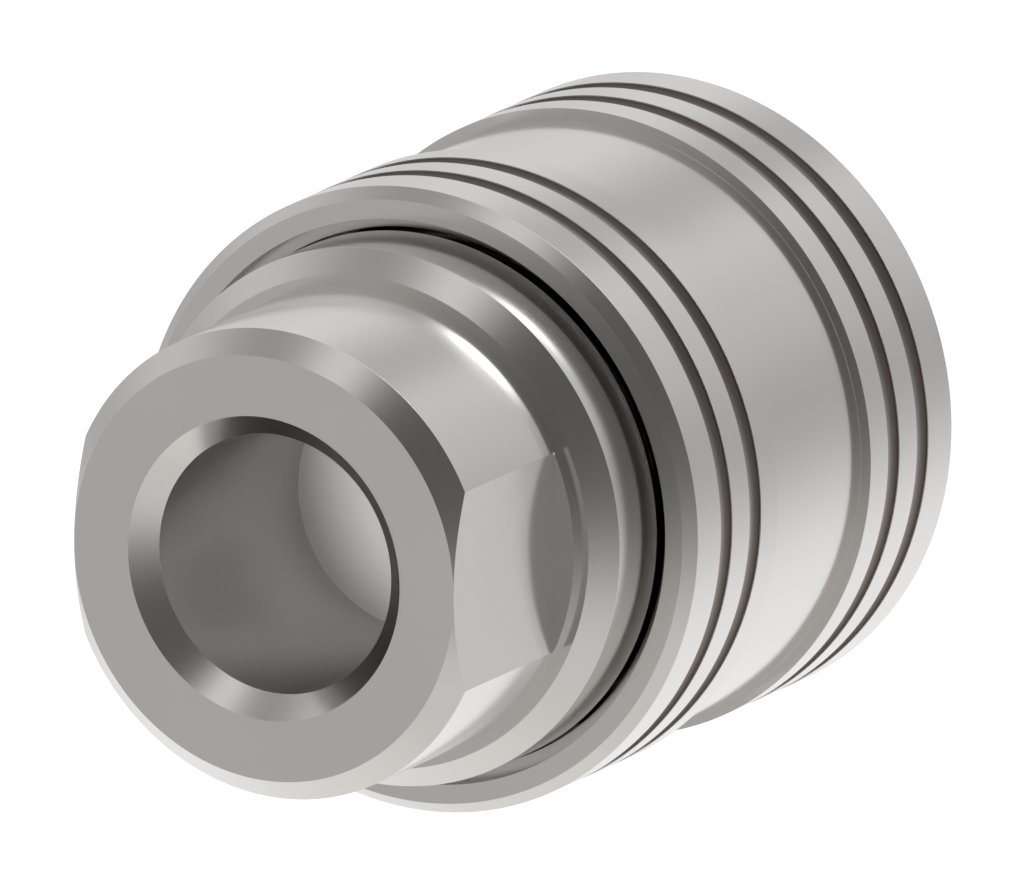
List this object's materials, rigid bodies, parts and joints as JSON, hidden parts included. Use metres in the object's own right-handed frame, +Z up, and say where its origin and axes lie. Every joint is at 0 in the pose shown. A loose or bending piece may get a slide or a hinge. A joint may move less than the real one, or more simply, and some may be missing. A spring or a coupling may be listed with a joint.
{
  "type": "quick coupling socket",
  "caption": "Steel hydraulic quick coupling socket: grooved locking sleeve over a ball cage, sprung poppet valve, threaded rear port with wrench flats.",
  "frame": {"origin": "centre of the rear port face", "axes": "+Y along the coupling's axis, from the port to the mating end; +Z up; the wrench flats face +X and -X"},
  "size_m": [0.0278, 0.036, 0.0278],
  "materials": {
    "body_steel": "fine turned stainless steel, satin",
    "sleeve_steel": "fine turned stainless steel, satin",
    "ring_steel": "spring steel ring, dull",
    "spring_steel": "drawn spring wire",
    "valve_steel": "turned steel, satin",
    "guide_steel": "turned steel, satin",
    "ball_steel": "polished hardened steel",
    "valve_rubber": "black nitrile rubber",
    "seal_rubber": "black nitrile rubber",
    "backup_plastic": "off-white fluoropolymer"
  },
  "bodies": {
    "socket_body": {"rear_body": "body_steel", "body_seal": "seal_rubber", "front_body": "body_steel", "probe_seal": "seal_rubber", "backup_ring": "backup_plastic", "valve_guide": "guide_steel", "sleeve_spring": "spring_steel", "poppet_spring": "spring_steel"},
    "stop_ring": {"retaining_ring": "ring_steel"},
    "grip_sleeve": {"sleeve": "sleeve_steel"},
    "valve": {"poppet": "valve_steel", "poppet_seal": "valve_rubber"},
    "ball_1": {"locking_ball_1": "ball_steel"},
    "ball_2": {"locking_ball_2": "ball_steel"},
    "ball_3": {"locking_ball_3": "ball_steel"},
    "ball_4": {"locking_ball_4": "ball_steel"},
    "ball_5": {"locking_ball_5": "ball_steel"},
    "ball_6": {"locking_ball_6": "ball_steel"},
    "ball_7": {"locking_ball_7": "ball_steel"},
    "ball_8": {"locking_ball_8": "ball_steel"}
  },
  "joints": [
    {"name": "sleeve_spin", "type": "hinge", "parent": "socket_body", "child": "stop_ring", "pos_m": [0, 0.0339, 0], "axis": [0, 1, 0], "continuous": true},
    {"name": "sleeve_slide", "type": "slide", "parent": "stop_ring", "child": "grip_sleeve", "axis": [0, -1, 0], "range_m": [0, 0.0045], "stiffness_N_per_m": 535, "springref_m": -0.0074, "deforming": ["sleeve_spring"]},
    {"name": "poppet_slide", "type": "slide", "parent": "socket_body", "child": "valve", "axis": [0, -1, 0], "range_m": [0, 0.0022], "stiffness_N_per_m": 880, "springref_m": -0.0035, "deforming": ["poppet_spring"]},
    {"name": "ball_1_slide", "type": "slide", "parent": "socket_body", "child": "ball_1", "axis": [0.9239, 0, 0.3827], "range_m": [0, 0.0011]},
    {"name": "ball_2_slide", "type": "slide", "parent": "socket_body", "child": "ball_2", "axis": [0.3827, 0, 0.9239], "range_m": [0, 0.0011]},
    {"name": "ball_3_slide", "type": "slide", "parent": "socket_body", "child": "ball_3", "axis": [-0.3827, 0, 0.9239], "range_m": [0, 0.0011]},
    {"name": "ball_4_slide", "type": "slide", "parent": "socket_body", "child": "ball_4", "axis": [-0.9239, 0, 0.3827], "range_m": [0, 0.0011]},
    {"name": "ball_5_slide", "type": "slide", "parent": "socket_body", "child": "ball_5", "axis": [-0.9239, 0, -0.3827], "range_m": [0, 0.0011]},
    {"name": "ball_6_slide", "type": "slide", "parent": "socket_body", "child": "ball_6", "axis": [-0.3827, 0, -0.9239], "range_m": [0, 0.0011]},
    {"name": "ball_7_slide", "type": "slide", "parent": "socket_body", "child": "ball_7", "axis": [0.3827, 0, -0.9239], "range_m": [0, 0.0011]},
    {"name": "ball_8_slide", "type": "slide", "parent": "socket_body", "child": "ball_8", "axis": [0.9239, 0, -0.3827], "range_m": [0, 0.0011]}
  ],
  "couplings": [
    {"joint": "ball_1_slide", "follows": "sleeve_slide", "ratio": 0.24008},
    {"joint": "ball_2_slide", "follows": "sleeve_slide", "ratio": 0.24008},
    {"joint": "ball_3_slide", "follows": "sleeve_slide", "ratio": 0.24008},
    {"joint": "ball_4_slide", "follows": "sleeve_slide", "ratio": 0.24008},
    {"joint": "ball_5_slide", "follows": "sleeve_slide", "ratio": 0.24008},
    {"joint": "ball_6_slide", "follows": "sleeve_slide", "ratio": 0.24008},
    {"joint": "ball_7_slide", "follows": "sleeve_slide", "ratio": 0.24008},
    {"joint": "ball_8_slide", "follows": "sleeve_slide", "ratio": 0.24008}
  ]
}
